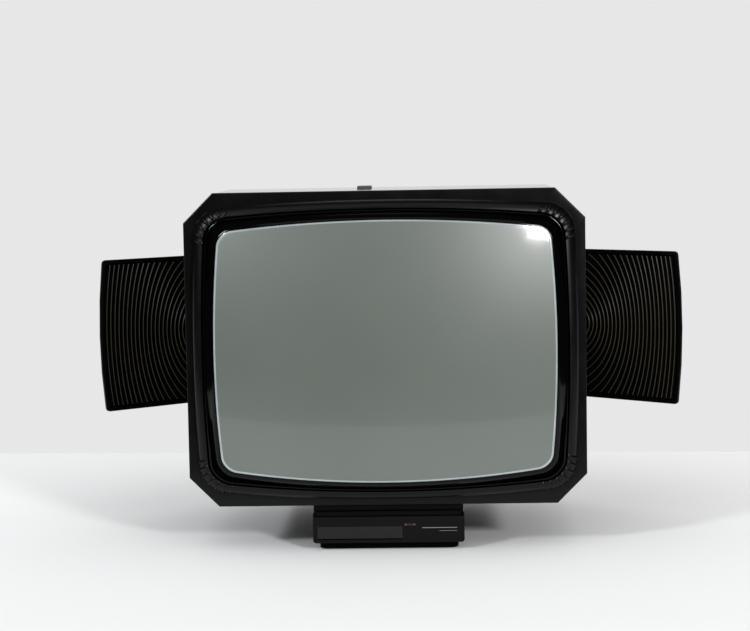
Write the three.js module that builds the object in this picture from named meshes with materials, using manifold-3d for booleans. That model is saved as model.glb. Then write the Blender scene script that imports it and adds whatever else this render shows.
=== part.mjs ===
// A colour television monitor of the 1980s with a 20 inch picture tube.
// An octagonal cabinet stands on a low control pedestal and carries two
// swing-out loudspeaker wings.
// Millimetres. +X is the viewer's right, the screen faces -Y, +Z is up. The
// origin is on the swivel axis, on the underside of the base plate.

import * as THREE from 'three';
import { mergeVertices } from 'three/addons/utils/BufferGeometryUtils.js';
import Module from 'manifold-3d';

const wasm = await Module();
wasm.setup();

// ---------- driving dimensions ----------
const GAP = 0.3;                    // air left between touching pieces
const WALL = 3;                     // cabinet wall

// pedestal
const BASE_WIDTH = 176;
const BASE_DEPTH = 278;
const BASE_THICKNESS = 8.5;
const FOOT_DROP = 1;                // how far the rubber strips stand out
const HOUSING_WIDTH = 191;
const HOUSING_FRONT = -150;
const HOUSING_BACK = 140;
const HOUSING_TOP = 49;
const HOUSING_WALL = 2.5;
const HOUSING_CORNER = 4;
const LIP_GAP = 1.3;                // between the fascia and the lip over it
const UPSTAND_INSET = 1;            // the rim round the turntable, inside the housing's sides
const UPSTAND_WALL = 2;
const UPSTAND_CLEARANCE = 1;        // air between the rim and the cabinet that turns over it
const FASCIA_THICKNESS = 4;
const FASCIA_TOP = 42.4;
const FLAP_LEFT = -90;
const FLAP_RIGHT = 17.5;
const FLAP_BOTTOM = 13.4;
const FLAP_TOP = 29.8;
const FLAP_THICKNESS = 2.5;
const FLAP_KNUCKLE = 2;
const FLAP_PIN_RADIUS = 0.8;
const POCKET_WALL = 1.5;
const POCKET_BACK = -137;
const BUTTON_XS = [-78, -54, -30, -6];
const BUTTON_TRAVEL = 1.5;
const STEM_HALF = 3;                // half the width of a button's stem
const STEM_REACH = 3;               // how far the stem passes the pocket
const LENS_PLACE = [27, 31.6];      // indicator, [x, z]
const LENS_HALF = [8, 2];
const SPINDLE_RADIUS = 14;
const SPINDLE_BOTTOM = 40.2;
const SPINDLE_TOP = 74;
const SPINDLE_FLANGE_RADIUS = 26;
const NUT_RADIUS = 22;
const NUT_HEIGHTS = [5, 12];        // above the cabinet's underside
const TURNTABLE_RADIUS = 91;

// cabinet
const FLANGE_Y = -150;              // front plane of the octagonal flange
const FLANGE_THICKNESS = 14;
const CABINET_WIDTH = 500;
const CABINET_HEIGHT = 395;
const CABINET_BOTTOM = 57;
const CHAMFER = 37;
const SHELL_INSET = 0.5;            // the shell is this much inside the flange
const SHELL_BACK = 50;
const SCREEN_Z = CABINET_BOTTOM + CABINET_HEIGHT / 2;
const POWER_X = -29;
const POWER_Y = 20;
const POWER_SIZE = [18, 50];
const POWER_RISE = 2.7;
const POWER_GAP = 0.4;
const BOSS_RADIUS = 11.5;
const BOSS_FRONT = 15;
const SCREW_PLACES = [[-236, 397], [236, 397]];
const SCREW_RADIUS = 2;
const SCREW_BORE = 2.4;
const SCREW_TIP = 34;

// rear cover: sections of the hump as [y, half width, bottom z, top z, chamfer]
const REAR_SECTIONS = [
  [53.6, 221.7, 62, 447, 34],
  [100, 221.7, 62, 432, 38],
  [209, 221.7, 104, 385, 40],
  [250, 190, 118, 368, 34],
];
const REAR_LEDGE = 8;               // how far the rim reaches inside the hump
const VENT_COLUMNS = 7;
const VENT_PITCH = 46;
const VENT_HALF_WIDTH = 17;
const VENT_ROWS = [132, 148, 164];
const VENT_DEPTH = 9;
const VENT_HEIGHTS = [350, 460];
const PANEL_FRAME = [-150, -30, 150, 205];   // connector panel: x0, x1, z0, z1
const INLET_FRAME = [70, 100, 165, 187];
const AERIAL_PLACE = [-130, 178];
const AERIAL_RADIUS = 5;
const AV_FRAME = [-108, -60, 170, 186];

// screen: every outline around it is the opening moved outward by an offset
const OPENING_HALF_WIDTH = 212.4;
const OPENING_HALF_HEIGHT = 162.3;
const OPENING_BOW = [7, 13.5];      // how far the sides and top bow at the corners
const OPENING_CORNER = 18;
const OFFSET_STRETCH = 1.14;        // offsets are this much wider at the sides
const GROOVE_OFFSET = 14.3;
const GROOVE_BOW = [5.5, 11];
const GROOVE_CORNER = 27;
const SHOULDER_OFFSET = 24.5;
const GLASS_RISE = 51;              // apex of the glass in front of the flange
const GLASS_RADIUS = 900;
const CREST_RISE = 35;              // same for the shoulder around the glass
const CREST_RADIUS = 1500;
const PANEL_OFFSET = 8.6;
const SEAL_Y = -106;                // where the panel meets the funnel
const GLASS_THICKNESS = 12;
const PANEL_ROLL = [[3, 0.8], [6, 3.2], [PANEL_OFFSET, 7.5]];   // [offset, drop] of its edge
const MASK_LIP = 0.3;               // offset of the surround's inner edge
const MASK_OUTER = GROOVE_OFFSET - 1.7;
const MASK_BACK = FLANGE_Y + 16;
const FLARE_END = 20;               // the funnel is round from here to the neck
const FLARE_RADIUS = 46;
const FLARE_POWER = 1.3;
const NECK_RADIUS = 14.6;
const NECK_START = 72;
const NECK_END = 214;
const CAP_Y = -40;                  // the anode cap sits on the funnel's upper side
const CAP_TILT = THREE.MathUtils.degToRad(55);
const FUNNEL_OFFSET = 6.3;
const SHEET_GAP = 14;               // air between the glass and the shadow mask
const SHEET_THICKNESS = 2.4;
const SHEET_OFFSET = -14;
const BAND_OFFSETS = [7.3, 8.7];
const BAND_DEPTHS = [-131, -111];
const LUG_PLACE = [214, 160];
const DEGAUSS_Y = -88;
const DEGAUSS_OFFSET = 14;
const DEGAUSS_RADIUS = 4.5;

// chassis
const BOARD_THICKNESS = 1.6;
const CHASSIS_Z = 78;
const FLYBACK_PLACE = [140, 52];
const MAINS_CORE_PLACE = [-140, 52];
const FIN_COUNT = 9;
const FIN_PITCH = 14.25;
const LEAD_RADIUS = 2.5;

// loudspeaker wings
const WING_PIVOT = [238, 195.8];
const WING_OPEN = THREE.MathUtils.degToRad(38.7);
const WING_THICKNESS = 24;
const WING_HEIGHT = 207.5;
const WING_REACH = 208.5;           // pivot to the middle of the outer edge
const WING_BOW = 6.5;
const WING_CORNER = 5;
const WING_RIM = 3.5;               // straight part of the edge, before it slopes to the back
const WING_TAPER = [14, 9];         // how far the back is drawn in, outward and in height
const WING_WALL = 2.5;
const GRILLE_START = 14;
const GRILLE_END = 203.8;
const GRILLE_HALF_HEIGHT = 98.7;
const GRILLE_THICKNESS = 2.5;
const DRIVER_S = 105;
const DRIVER_RADIUS = 48;
const HINGE_PIN_RADIUS = 3;
const BRACKET_INNER = 222;          // inner face of the wing brackets
const BRACKET_PLATE = 3;
const BRACKET_ARM = 10;
const BRACKET_FRONT = -20.7;
const BRACKET_BACK = 208;
const BRACKET_HALF_HEIGHT = 118.2;

// ---------- materials ----------
const FINISH = {
  satin: [0x17171a, 0.38, 0],
  gloss: [0x08080a, 0.1, 0],
  glass: [0x6b726b, 0.08, 0],
  clearGlass: [0x8a958f, 0.15, 0],
  smoked: [0x34353a, 0.25, 0],
  rubber: [0x1b1b1c, 0.8, 0],
  steel: [0xa9acb0, 0.35, 1],
  dark: [0x222225, 0.6, 0],
  pcb: [0x2d5a33, 0.6, 0],
  copper: [0xa5562c, 0.4, 1],
  ferrite: [0x34332f, 0.7, 0],
  paper: [0x2a2825, 0.85, 0],
  grille: [0x14140f, 0.5, 0],
  brass: [0xb79a55, 0.35, 1],
  red: [0x7c1513, 0.3, 0],
  grey: [0x55565a, 0.5, 0],
};

const monitor = new THREE.Group();

function add(name, geometry, finish, parent = monitor) {
  const [color, roughness, metalness] = FINISH[finish];
  const material = new THREE.MeshStandardMaterial({ color, roughness, metalness });
  const mesh = new THREE.Mesh(geometry, material);
  mesh.name = name;
  parent.add(mesh);
  return mesh;
}

// ---------- geometry helpers ----------
function solid(geometry) {
  const bare = geometry.clone();
  bare.deleteAttribute('normal');
  bare.deleteAttribute('uv');
  const merged = mergeVertices(bare, 1e-4);
  return new wasm.Manifold(new wasm.Mesh({
    numProp: 3,
    vertProperties: new Float32Array(merged.attributes.position.array),
    triVerts: new Uint32Array(merged.index.array),
  }));
}

function fromSolid(manifold) {
  const mesh = manifold.getMesh();
  const geometry = new THREE.BufferGeometry();
  geometry.setAttribute('position', new THREE.BufferAttribute(mesh.vertProperties, 3));
  geometry.setIndex(new THREE.BufferAttribute(mesh.triVerts, 1));
  geometry.computeVertexNormals();
  return geometry;
}

function cut(geometry, ...tools) {
  const result = tools.reduce((rest, tool) => rest.subtract(solid(tool)), solid(geometry));
  return fromSolid(result);
}

function join(geometry, ...others) {
  const result = others.reduce((sum, other) => sum.add(solid(other)), solid(geometry));
  return fromSolid(result);
}

function box(x0, x1, y0, y1, z0, z1) {
  const geometry = new THREE.BoxGeometry(Math.abs(x1 - x0), y1 - y0, z1 - z0);
  return geometry.translate((x0 + x1) / 2, (y0 + y1) / 2, (z0 + z1) / 2);
}

// a rod with its ends on one axis: 'x', 'y' or 'z'
function rod(axis, radius, from, to, a, b, sides = 16) {
  const geometry = new THREE.CylinderGeometry(radius, radius, to - from, sides);
  const middle = (from + to) / 2;
  if (axis === 'x') {
    return geometry.rotateZ(Math.PI / 2).translate(middle, a, b);
  }
  if (axis === 'y') {
    return geometry.translate(a, middle, b);
  }
  return geometry.rotateX(Math.PI / 2).translate(a, b, middle);
}

// turned about a line parallel to Y; profile points are [radius, y]
function turned(profile, x = 0, z = SCREEN_Z, sides = 24) {
  const points = profile.map(([radius, y]) => new THREE.Vector2(radius, y));
  return faceOutward(new THREE.LatheGeometry(points, sides)).translate(x, 0, z);
}

function shapeOf(points) {
  return new THREE.Shape(points.map(([a, b]) => new THREE.Vector2(a, b)));
}

// an outline of [x, z] points extruded along Y
function prismY(points, y0, y1) {
  const settings = { depth: y1 - y0, bevelEnabled: false, curveSegments: 6 };
  const geometry = new THREE.ExtrudeGeometry(shapeOf(points), settings);
  return geometry.rotateX(Math.PI / 2).translate(0, y1, 0);
}

// an outline of [x, y] points extruded along Z
function prismZ(points, z0, z1) {
  const settings = { depth: z1 - z0, bevelEnabled: false, curveSegments: 6 };
  return new THREE.ExtrudeGeometry(shapeOf(points), settings).translate(0, 0, z0);
}

function roundedRect(a0, a1, b0, b1, radius, steps = 4) {
  const centres = [[a1, b1, 0], [a0, b1, 1], [a0, b0, 2], [a1, b0, 3]];
  return centres.flatMap(([a, b, quarter]) => {
    const ca = a - Math.sign(a - (a0 + a1) / 2) * radius;
    const cb = b - Math.sign(b - (b0 + b1) / 2) * radius;
    return Array.from({ length: steps + 1 }, (_, i) => {
      const angle = (quarter + i / steps) * Math.PI / 2;
      return [ca + radius * Math.cos(angle), cb + radius * Math.sin(angle)];
    });
  });
}

function octagon(halfWidth, z0, z1, chamfer) {
  return [
    [halfWidth, z0 + chamfer], [halfWidth, z1 - chamfer],
    [halfWidth - chamfer, z1], [chamfer - halfWidth, z1],
    [-halfWidth, z1 - chamfer], [-halfWidth, z0 + chamfer],
    [chamfer - halfWidth, z0], [halfWidth - chamfer, z0],
  ];
}

function faceOutward(geometry) {
  const position = geometry.attributes.position;
  const index = geometry.index;
  const corner = [new THREE.Vector3(), new THREE.Vector3(), new THREE.Vector3()];
  let volume = 0;
  for (let i = 0; i < index.count; i += 3) {
    corner.forEach((point, k) => point.fromBufferAttribute(position, index.getX(i + k)));
    volume += corner[0].dot(corner[1].cross(corner[2]));
  }
  if (volume < 0) {
    for (let i = 0; i < index.count; i += 3) {
      const kept = index.getX(i);
      index.setX(i, index.getX(i + 1));
      index.setX(i + 1, kept);
    }
  }
  return geometry;
}

// Skin over rings of [x, y, z] points. A ring of one point closes the skin
// there; otherwise the last ring joins the first.
function skin(rings) {
  const positions = rings.flat(2);
  const starts = [];
  let total = 0;
  for (const ring of rings) {
    starts.push(total);
    total += ring.length;
  }
  const triangles = [];
  const around = Math.max(...rings.map((ring) => ring.length));
  const capped = rings[0].length === 1;
  const spans = capped ? rings.length - 1 : rings.length;
  for (let r = 0; r < spans; r += 1) {
    const next = (r + 1) % rings.length;
    for (let i = 0; i < around; i += 1) {
      const j = (i + 1) % around;
      const here = (k) => starts[r] + (rings[r].length === 1 ? 0 : k);
      const there = (k) => starts[next] + (rings[next].length === 1 ? 0 : k);
      if (rings[r].length > 1) {
        triangles.push(here(i), here(j), there(i));
      }
      if (rings[next].length > 1) {
        triangles.push(here(j), there(j), there(i));
      }
    }
  }
  const geometry = new THREE.BufferGeometry();
  geometry.setAttribute('position', new THREE.Float32BufferAttribute(positions, 3));
  geometry.setIndex(triangles);
  faceOutward(geometry);
  geometry.computeVertexNormals();
  return geometry;
}

// ---------- the family of outlines around the screen ----------
function mix(a, b, t) {
  return a + (b - a) * t;
}

// [x, z] points, z measured from the screen's centre
function screenOutline(offset, sideSteps = 2, cornerSteps = 4) {
  const t = offset / GROOVE_OFFSET;
  const halfWidth = OPENING_HALF_WIDTH + offset * OFFSET_STRETCH;
  const halfHeight = OPENING_HALF_HEIGHT + offset;
  const bowWidth = mix(OPENING_BOW[0], GROOVE_BOW[0], t);
  const bowHeight = mix(OPENING_BOW[1], GROOVE_BOW[1], t);
  const corner = mix(OPENING_CORNER, GROOVE_CORNER, t);
  const quarter = [];
  for (let i = 0; i < sideSteps; i += 1) {
    quarter.push([halfWidth, (halfHeight - corner) * i / sideSteps]);
  }
  for (let i = 0; i <= cornerSteps; i += 1) {
    const angle = i / cornerSteps * Math.PI / 2;
    quarter.push([
      halfWidth - corner + corner * Math.cos(angle),
      halfHeight - corner + corner * Math.sin(angle),
    ]);
  }
  for (let i = 1; i < sideSteps; i += 1) {
    quarter.push([(halfWidth - corner) * (1 - i / sideSteps), halfHeight]);
  }
  const bowed = quarter.map(([x, z]) => [
    x - bowWidth * x / halfWidth * (z / halfHeight) ** 2,
    z - bowHeight * z / halfHeight * (x / halfWidth) ** 2,
  ]);
  const middleTop = [0, halfHeight];
  const mirrored = bowed.slice(1).reverse();
  return [
    ...bowed, middleTop,
    ...mirrored.map(([x, z]) => [-x, z]), [-bowed[0][0], 0],
    ...bowed.slice(1).map(([x, z]) => [-x, -z]), [0, -halfHeight],
    ...mirrored.map(([x, z]) => [x, -z]),
  ];
}

function glassFront(x, z) {
  return FLANGE_Y - GLASS_RISE + (x * x + z * z) / (2 * GLASS_RADIUS);
}

function crestFront(x, z) {
  return FLANGE_Y - CREST_RISE + (x * x + z * z) / (2 * CREST_RADIUS);
}

// one ring: an outline, shrunk by scale, with its depth given by a function
function ring(offset, depth, scale = 1) {
  return screenOutline(offset).map(([x, z]) => {
    const y = typeof depth === 'number' ? depth : depth(x * scale, z * scale);
    return [x * scale, y, z * scale + SCREEN_Z];
  });
}

function outlinePrism(offset, y0, y1) {
  return prismY(screenOutline(offset).map(([x, z]) => [x, z + SCREEN_Z]), y0, y1);
}

// ---------- pedestal ----------
function makePedestal() {
  const halfBase = BASE_WIDTH / 2;
  const footX = halfBase - 16;
  const footHalf = [9, BASE_DEPTH / 2 - 24];
  const footPocket = 1.5;
  const plate = prismZ(
    roundedRect(-halfBase, halfBase, -BASE_DEPTH / 2, BASE_DEPTH / 2, 10),
    0, BASE_THICKNESS,
  );
  const pockets = [-1, 1].map((side) => box(
    side * footX - footHalf[0] - GAP, side * footX + footHalf[0] + GAP,
    -footHalf[1] - GAP, footHalf[1] + GAP, -1, footPocket,
  ));
  add('base_plate', cut(plate, ...pockets), 'satin');
  for (const [side, word] of [[-1, 'left'], [1, 'right']]) {
    const strip = box(
      side * footX - footHalf[0], side * footX + footHalf[0],
      -footHalf[1], footHalf[1], -FOOT_DROP, footPocket - GAP,
    );
    add(`foot_strip_${word}`, strip, 'rubber');
  }

  const halfWidth = HOUSING_WIDTH / 2;
  const bottom = BASE_THICKNESS + GAP;
  const front = HOUSING_FRONT + FASCIA_THICKNESS + GAP;
  const inside = halfWidth - HOUSING_WALL;
  const outer = prismY(
    roundedRect(-halfWidth, halfWidth, bottom, HOUSING_TOP, HOUSING_CORNER),
    front, HOUSING_BACK,
  );
  const lip = box(
    HOUSING_CORNER - halfWidth, halfWidth - HOUSING_CORNER, HOUSING_FRONT, front + 1,
    FASCIA_TOP + LIP_GAP, HOUSING_TOP,
  );
  const cavity = box(
    -inside, inside, front - 1, HOUSING_BACK - HOUSING_WALL,
    bottom + HOUSING_WALL, HOUSING_TOP - HOUSING_WALL,
  );
  const spindleHole = rod(
    'z', SPINDLE_RADIUS + GAP, SPINDLE_BOTTOM, HOUSING_TOP + 1, 0, 0, 24,
  );
  const housing = join(cut(join(outer, lip), cavity, spindleHole), makeUpstand(front));
  add('pedestal_housing', housing, 'satin');

  makeFascia(bottom, halfWidth);

  const flange = rod(
    'z', SPINDLE_FLANGE_RADIUS, SPINDLE_BOTTOM, HOUSING_TOP - HOUSING_WALL - GAP, 0, 0, 24,
  );
  const post = rod('z', SPINDLE_RADIUS - GAP, SPINDLE_BOTTOM, SPINDLE_TOP, 0, 0, 24);
  add('swivel_spindle', join(flange, post), 'steel');
  const nut = rod(
    'z', NUT_RADIUS, CABINET_BOTTOM + NUT_HEIGHTS[0], CABINET_BOTTOM + NUT_HEIGHTS[1], 0, 0, 6,
  );
  const thread = rod('z', SPINDLE_RADIUS, CABINET_BOTTOM, SPINDLE_TOP, 0, 0, 24);
  add('spindle_nut', cut(nut, thread), 'steel');
}

// a low rim on the housing that closes the slot under the cabinet
function makeUpstand(front) {
  const half = HOUSING_WIDTH / 2 - UPSTAND_INSET;
  const innerHalf = half - UPSTAND_WALL;
  const top = CABINET_BOTTOM - UPSTAND_CLEARANCE;
  const block = box(
    -half, half, front + UPSTAND_INSET, HOUSING_BACK - UPSTAND_INSET, HOUSING_TOP - 1, top,
  );
  const space = box(
    -innerHalf, innerHalf, front + UPSTAND_INSET + UPSTAND_WALL,
    HOUSING_BACK - UPSTAND_INSET - UPSTAND_WALL, HOUSING_TOP - 2, top + 1,
  );
  return cut(block, space);
}

function makeFascia(bottom, halfWidth) {
  const front = HOUSING_FRONT;
  const plateBack = front + FASCIA_THICKNESS;
  const knuckleY = front + FLAP_KNUCKLE;
  const knuckleZ = FLAP_BOTTOM + FLAP_KNUCKLE;
  const opening = [
    FLAP_LEFT - GAP, FLAP_RIGHT + GAP, FLAP_BOTTOM - GAP, FLAP_TOP + GAP,
  ];
  const plate = prismY(
    roundedRect(-halfWidth, halfWidth, bottom, FASCIA_TOP, HOUSING_CORNER), front, plateBack,
  );
  const pocket = box(
    opening[0] - POCKET_WALL, opening[1] + POCKET_WALL, front + 1, POCKET_BACK,
    opening[2] - POCKET_WALL, opening[3] + POCKET_WALL,
  );
  const hollow = box(
    opening[0], opening[1], front - 1, POCKET_BACK - POCKET_WALL, opening[2], opening[3],
  );
  const buttonZ = (FLAP_BOTTOM + FLAP_TOP) / 2 + 1;
  const stemHoles = BUTTON_XS.map((x) => box(
    x - STEM_HALF, x + STEM_HALF, POCKET_BACK - 4, POCKET_BACK + 1,
    buttonZ - STEM_HALF, buttonZ + STEM_HALF,
  ));
  const pinHole = rod(
    'x', FLAP_PIN_RADIUS + GAP, FLAP_LEFT - 1.5, FLAP_RIGHT + 1.5, knuckleY, knuckleZ, 12,
  );
  const [lensX, lensZ] = LENS_PLACE;
  const [lensWide, lensHigh] = LENS_HALF;
  const lensHole = box(
    lensX - lensWide, lensX + lensWide, front - 1, plateBack + 1,
    lensZ - lensHigh, lensZ + lensHigh,
  );
  add(
    'front_fascia',
    cut(join(plate, pocket), hollow, ...stemHoles, pinHole, lensHole),
    'satin',
  );
  const lens = box(
    lensX - lensWide + GAP, lensX + lensWide - GAP, front + 0.4, plateBack - 0.4,
    lensZ - lensHigh + GAP, lensZ + lensHigh - GAP,
  );
  add('indicator_lens', lens, 'red');

  const panel = box(FLAP_LEFT, FLAP_RIGHT, front, front + FLAP_THICKNESS, knuckleZ, FLAP_TOP);
  const knuckle = rod('x', FLAP_KNUCKLE, FLAP_LEFT, FLAP_RIGHT, knuckleY, knuckleZ, 20);
  const bore = rod(
    'x', FLAP_PIN_RADIUS + GAP, FLAP_LEFT - 1, FLAP_RIGHT + 1, knuckleY, knuckleZ, 12,
  );
  add('control_flap', cut(join(panel, knuckle), bore), 'smoked');
  add('flap_pin', rod(
    'x', FLAP_PIN_RADIUS, FLAP_LEFT - 1.2, FLAP_RIGHT + 1.2, knuckleY, knuckleZ, 10,
  ), 'steel');

  const headFront = front + 3.7;
  BUTTON_XS.forEach((x, i) => {
    const headBack = POCKET_BACK - POCKET_WALL - BUTTON_TRAVEL - 0.5;
    const head = box(x - 7, x + 7, headFront, headBack, buttonZ - 3.8, buttonZ + 3.8);
    const stem = box(
      x - STEM_HALF + GAP, x + STEM_HALF - GAP, headBack - 1, POCKET_BACK + STEM_REACH,
      buttonZ - STEM_HALF + GAP, buttonZ + STEM_HALF - GAP,
    );
    add(`control_button_${i + 1}`, join(head, stem), 'grey');
  });

  const boardFront = POCKET_BACK + STEM_REACH + BUTTON_TRAVEL + 0.5;
  const boardBack = boardFront + BOARD_THICKNESS;
  add('control_board', box(-88, 88, boardFront, boardBack, 13, 40), 'pcb');
}

// ---------- cabinet ----------
function makeCabinet() {
  const top = CABINET_BOTTOM + CABINET_HEIGHT;
  const spindleHole = rod('z', SPINDLE_RADIUS + GAP, 40, 70, 0, 0, 24);
  const turntable = rod(
    'z', TURNTABLE_RADIUS, HOUSING_TOP + GAP, CABINET_BOTTOM + SHELL_INSET - GAP, 0, 0, 48,
  );
  add('turntable', cut(turntable, spindleHole), 'dark');

  const flange = prismY(
    octagon(CABINET_WIDTH / 2, CABINET_BOTTOM, top, CHAMFER),
    FLANGE_Y, FLANGE_Y + FLANGE_THICKNESS,
  );
  const hole = outlinePrism(GROOVE_OFFSET, FLANGE_Y - 60, FLANGE_Y + FLANGE_THICKNESS + 1);
  const radius = SHOULDER_OFFSET - GROOVE_OFFSET;
  const arc = [0, 1, 2, 3].map((i) => {
    const angle = i / 4 * Math.PI / 2;
    const drop = radius * (1 - Math.sin(angle));
    return ring(
      GROOVE_OFFSET + radius * Math.cos(angle), (x, z) => crestFront(x, z) + drop,
    );
  });
  const shoulder = skin([
    ring(SHOULDER_OFFSET, FLANGE_Y + 5), ...arc,
    ring(GROOVE_OFFSET - 3, crestFront), ring(GROOVE_OFFSET - 3, FLANGE_Y + 5),
  ]);
  add('front_bezel', cut(join(flange, shoulder), hole), 'satin');

  add('screen_mask', makeMask(), 'gloss');

  const shellFront = FLANGE_Y + FLANGE_THICKNESS + GAP;
  const half = CABINET_WIDTH / 2 - SHELL_INSET;
  const low = CABINET_BOTTOM + SHELL_INSET;
  const high = top - SHELL_INSET;
  const outer = prismY(octagon(half, low, high, CHAMFER), shellFront, SHELL_BACK);
  const inner = prismY(
    octagon(half - WALL, low + WALL, high - WALL, CHAMFER - 1.2),
    shellFront - 1, SHELL_BACK + 1,
  );
  const bosses = SCREW_PLACES.map(([x, z]) => rod(
    'y', BOSS_RADIUS, BOSS_FRONT, SHELL_BACK, x, z, 14,
  ));
  const bossHoles = SCREW_PLACES.map(([x, z]) => rod(
    'y', SCREW_BORE, SCREW_TIP - 4, SHELL_BACK + 1, x, z, 10,
  ));
  const notches = [-1, 1].map((side) => box(
    side * (BRACKET_INNER - GAP), side * (half + 5), BRACKET_FRONT - GAP, SHELL_BACK + 1,
    SCREEN_Z - BRACKET_HALF_HEIGHT - GAP, SCREEN_Z + BRACKET_HALF_HEIGHT + GAP,
  ));
  const [powerWidth, powerDepth] = POWER_SIZE;
  const powerHole = box(
    POWER_X - powerWidth / 2 - POWER_GAP, POWER_X + powerWidth / 2 + POWER_GAP,
    POWER_Y - powerDepth / 2 - POWER_GAP, POWER_Y + powerDepth / 2 + POWER_GAP,
    high - 10, high + 1,
  );
  const tube = cut(outer, inner);
  add(
    'cabinet_shell',
    cut(join(tube, ...bosses), ...bossHoles, ...notches, powerHole, spindleHole),
    'satin',
  );
  add('power_button', prismZ(roundedRect(
    POWER_X - powerWidth / 2, POWER_X + powerWidth / 2,
    POWER_Y - powerDepth / 2, POWER_Y + powerDepth / 2, 3,
  ), high - 8, high + POWER_RISE), 'grey');

  makeRear(half, low, high);
}

// the surround: a skirt round the glass whose front climbs from the groove to a thin lip
function makeMask() {
  const bead = MASK_OUTER - 1.2;
  const climb = (offset, drop) => ring(offset, (x, z) => Math.min(
    mix(glassFront(x, z) - 1.4, crestFront(x, z) + GAP, offset / bead),
    glassFront(x, z) + drop - 1.3,
  ));
  const skirtInner = PANEL_OFFSET + 0.7;
  return skin([
    ring(MASK_OUTER, MASK_BACK),
    ring(MASK_OUTER, (x, z) => crestFront(x, z) + 1.5),
    ring(bead, (x, z) => crestFront(x, z) + GAP),
    ...PANEL_ROLL.map(([offset, drop]) => climb(offset, drop)).reverse(),
    ring(MASK_LIP, (x, z) => glassFront(x, z) - 1.4),
    ring(MASK_LIP, (x, z) => glassFront(x, z) - GAP),
    ...PANEL_ROLL.slice(0, 2).map(([offset, drop]) => ring(
      offset, (x, z) => glassFront(x, z) + drop - GAP,
    )),
    ring(skirtInner, (x, z) => glassFront(x, z) + PANEL_ROLL[2][1]),
    ring(skirtInner, MASK_BACK),
  ]);
}

function rearRings(inset) {
  return REAR_SECTIONS.map(([y, halfWidth, z0, z1, chamfer], i) => {
    const last = i === REAR_SECTIONS.length - 1;
    const depth = y - (last ? inset : 0) - (i === 0 && inset > 0 ? 2 : 0);
    const outline = octagon(halfWidth - inset, z0 + inset, z1 - inset, chamfer);
    return outline.map(([x, z]) => [x, depth, z]);
  });
}

function capRings(rings) {
  const first = rings[0][0][1];
  const last = rings[rings.length - 1][0][1];
  return skin([[[0, first, SCREEN_Z]], ...rings, [[0, last, SCREEN_Z]]]);
}

function makeRear(half, low, high) {
  const rimBack = SHELL_BACK + WALL + GAP;
  const [, humpHalf, humpLow, humpHigh, humpChamfer] = REAR_SECTIONS[0];
  const rim = prismY(octagon(half, low, high, CHAMFER), SHELL_BACK + GAP, rimBack);
  const rimHole = prismY(
    octagon(
      humpHalf - REAR_LEDGE, humpLow + REAR_LEDGE, humpHigh - REAR_LEDGE, humpChamfer,
    ),
    SHELL_BACK, rimBack + 1,
  );
  const rimNotches = [-1, 1].map((side) => box(
    side * (BRACKET_INNER - GAP), side * (half + 5), SHELL_BACK, rimBack + 1,
    SCREEN_Z - BRACKET_HALF_HEIGHT - GAP, SCREEN_Z + BRACKET_HALF_HEIGHT + GAP,
  ));
  const rimScrewHoles = SCREW_PLACES.map(([x, z]) => rod(
    'y', SCREW_BORE, SHELL_BACK - 10, SHELL_BACK + 10, x, z, 10,
  ));
  add('rear_rim', cut(rim, rimHole, ...rimNotches, ...rimScrewHoles), 'satin');
  SCREW_PLACES.forEach(([x, z], i) => {
    const head = rod('y', 5, rimBack + GAP, rimBack + 3, x, z, 14);
    const shank = rod('y', SCREW_RADIUS, SCREW_TIP, rimBack + 1, x, z, 8);
    add(`rim_screw_${i + 1}`, join(head, shank), 'steel');
  });

  const hump = capRings(rearRings(0));
  const hollow = capRings(rearRings(WALL));
  const ventSlots = VENT_ROWS.flatMap((y) => (
    Array.from({ length: VENT_COLUMNS }, (_, i) => {
      const x = (i - (VENT_COLUMNS - 1) / 2) * VENT_PITCH;
      return box(
        x - VENT_HALF_WIDTH, x + VENT_HALF_WIDTH, y, y + VENT_DEPTH, ...VENT_HEIGHTS,
      );
    })
  ));
  const back = REAR_SECTIONS[REAR_SECTIONS.length - 1][0];
  const [panelLeft, panelRight, panelLow, panelHigh] = PANEL_FRAME;
  const [inletLeft, inletRight, inletLow, inletHigh] = INLET_FRAME;
  const panelHole = box(panelLeft, panelRight, back - 10, back + 1, panelLow, panelHigh);
  const inletHole = box(inletLeft, inletRight, back - 10, back + 1, inletLow, inletHigh);
  add('rear_cover', cut(hump, hollow, ...ventSlots, panelHole, inletHole), 'satin');
  makeConnectors(back);

  for (const [side, word] of [[-1, 'left'], [1, 'right']]) {
    const z0 = SCREEN_Z - BRACKET_HALF_HEIGHT;
    const z1 = SCREEN_Z + BRACKET_HALF_HEIGHT;
    const block = box(
      side * BRACKET_INNER, side * half, BRACKET_FRONT, BRACKET_BACK, z0, z1,
    );
    const space = box(
      side * (BRACKET_INNER + BRACKET_PLATE), side * (half + 5),
      BRACKET_FRONT + 4, BRACKET_BACK + 1, z0 + BRACKET_ARM, z1 - BRACKET_ARM,
    );
    const pinHole = rod(
      'z', HINGE_PIN_RADIUS + GAP, z0 - 1, z1 + 1, side * WING_PIVOT[0], WING_PIVOT[1], 16,
    );
    add(`wing_bracket_${word}`, cut(block, space, pinHole), 'satin');
  }
}

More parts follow.
